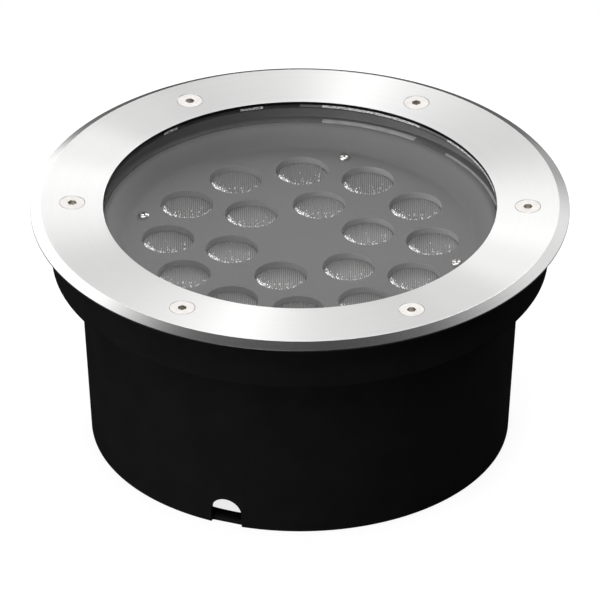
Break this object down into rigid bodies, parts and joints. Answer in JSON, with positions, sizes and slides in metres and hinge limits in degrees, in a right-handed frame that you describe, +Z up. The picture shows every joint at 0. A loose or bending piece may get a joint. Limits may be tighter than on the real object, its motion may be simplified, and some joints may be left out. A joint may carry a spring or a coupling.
{
  "type": "in-ground light",
  "caption": "Round recessed ground light: steel bezel over thick glass, dished reflector with small lenses, sealed lamp body in a black plastic ground sleeve.",
  "frame": {"origin": "middle of the sleeve's base, on the ground of the hole that it stands in", "axes": "+Z up out of the ground, towards the glass; the two cable notches are on the Y axis"},
  "size_m": [0.22, 0.22, 0.104],
  "materials": {
    "sleeve": "moulded black plastic with a fine grain",
    "bezel": "brushed stainless steel",
    "steel_screw": "turned stainless steel",
    "glass": "clear toughened glass",
    "seal": "matt black silicone",
    "reflector": "grey moulded plastic",
    "lens": "clear moulded lens with fine ribs",
    "holder": "white moulded plastic",
    "led": "ceramic package under a clear dome",
    "board": "white solder mask on aluminium",
    "pad": "soft grey thermal pad",
    "casting": "die-cast with a grey powder coat",
    "driver_plastic": "white moulded plastic",
    "circuit": "green solder mask",
    "copper": "wound copper with tape",
    "capacitor": "dark sleeve",
    "lug": "stamped brass",
    "red_wire": "red insulation",
    "black_wire": "black insulation",
    "brown_wire": "brown insulation",
    "blue_wire": "blue insulation",
    "earth_wire": "green and yellow insulation",
    "gland": "black moulded nylon"
  },
  "bodies": {
    "ground_sleeve": {"sleeve": "sleeve"},
    "lamp": {"bezel": "bezel", "bezel_screws": "steel_screw", "top_gasket": "seal", "glass": "glass", "seat_gasket": "seal", "reflector": "reflector", "reflector_screws": "steel_screw", "lens_01": "lens", "lens_02": "lens", "lens_03": "lens", "lens_04": "lens", "lens_05": "lens", "lens_06": "lens", "lens_07": "lens", "lens_08": "lens", "lens_09": "lens", "lens_10": "lens", "lens_11": "lens", "lens_12": "lens", "lens_13": "lens", "lens_14": "lens", "lens_15": "lens", "lens_16": "lens", "lens_17": "lens", "lens_18": "lens", "lens_holders": "holder", "led_packages": "led", "led_board": "board", "board_screws": "steel_screw", "thermal_pad": "pad", "lamp_body": "casting", "wire_grommet": "seal", "led_lead_positive": "red_wire", "led_lead_negative": "black_wire", "driver_case": "driver_plastic", "driver_board": "circuit", "driver_transformer": "copper", "driver_capacitors": "capacitor", "driver_lid": "driver_plastic", "driver_screws": "steel_screw", "terminal_block": "driver_plastic", "terminal_screws": "steel_screw", "supply_lead_live": "brown_wire", "supply_lead_neutral": "blue_wire", "earth_lead": "earth_wire", "earth_lug": "lug", "earth_screw": "steel_screw", "cover_gasket": "seal", "bottom_cover": "casting", "cover_screws": "steel_screw", "gland_washers": "seal", "gland_bodies": "gland", "gland_locknuts": "gland", "gland_seals": "seal", "gland_nuts": "gland"}
  },
  "joints": [
    {"name": "lamp_lift", "type": "slide", "parent": "ground_sleeve", "child": "lamp", "axis": [0, 0, 1], "range_m": [0, 0.12]}
  ]
}
